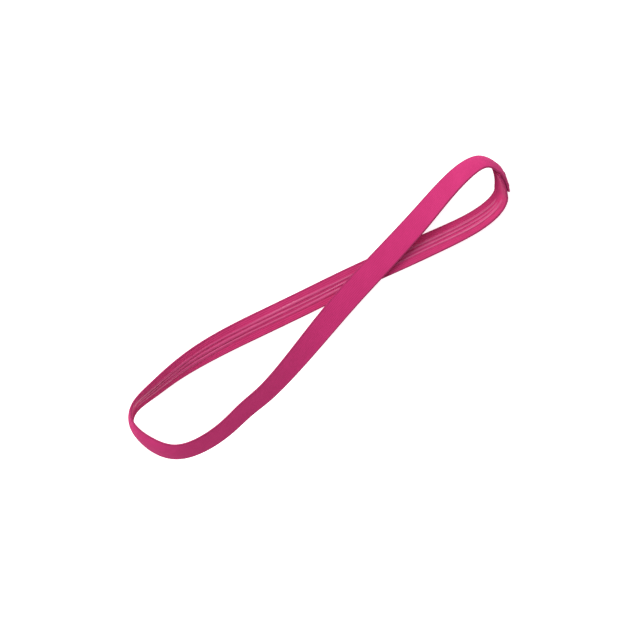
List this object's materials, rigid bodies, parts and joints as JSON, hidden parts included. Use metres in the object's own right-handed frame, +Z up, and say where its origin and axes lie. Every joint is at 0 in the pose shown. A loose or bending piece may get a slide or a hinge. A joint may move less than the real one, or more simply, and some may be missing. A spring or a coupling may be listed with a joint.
{
  "type": "sports headband",
  "caption": "Narrow elastic sports headband with silicone grip beads inside, lying as a twisted loop.",
  "frame": {"origin": "middle of the underside of the headband's box as it lies, on the surface it rests on", "axes": "+X along the loop's longest extent, from the large lobe to the small lobe, with the seam in the small one; +Y across it; +Z up"},
  "size_m": [0.2208, 0.0456, 0.0299],
  "materials": {
    "knit_outer": "matte fine knit, hot pink",
    "knit_inner": "matte ribbed knit, hot pink",
    "selvedge": "matte bound edge, deep pink",
    "rubber": "natural rubber",
    "silicone": "glossy translucent silicone over pink knit",
    "thread": "polyester thread, pink"
  },
  "bodies": {
    "root": {"outer_knit_face": "knit_outer", "inner_knit_face": "knit_inner", "upper_selvedge": "selvedge", "lower_selvedge": "selvedge", "rubber_end_1": "rubber", "rubber_end_2": "rubber", "rubber_end_3": "rubber", "rubber_end_4": "rubber", "rubber_end_5": "rubber", "rubber_end_6": "rubber", "grip_bead_1": "silicone", "grip_bead_2": "silicone", "grip_bead_3": "silicone", "needle_thread_1": "thread", "needle_thread_2": "thread", "bobbin_thread_1": "thread", "bobbin_thread_2": "thread"}
  },
  "joints": []
}
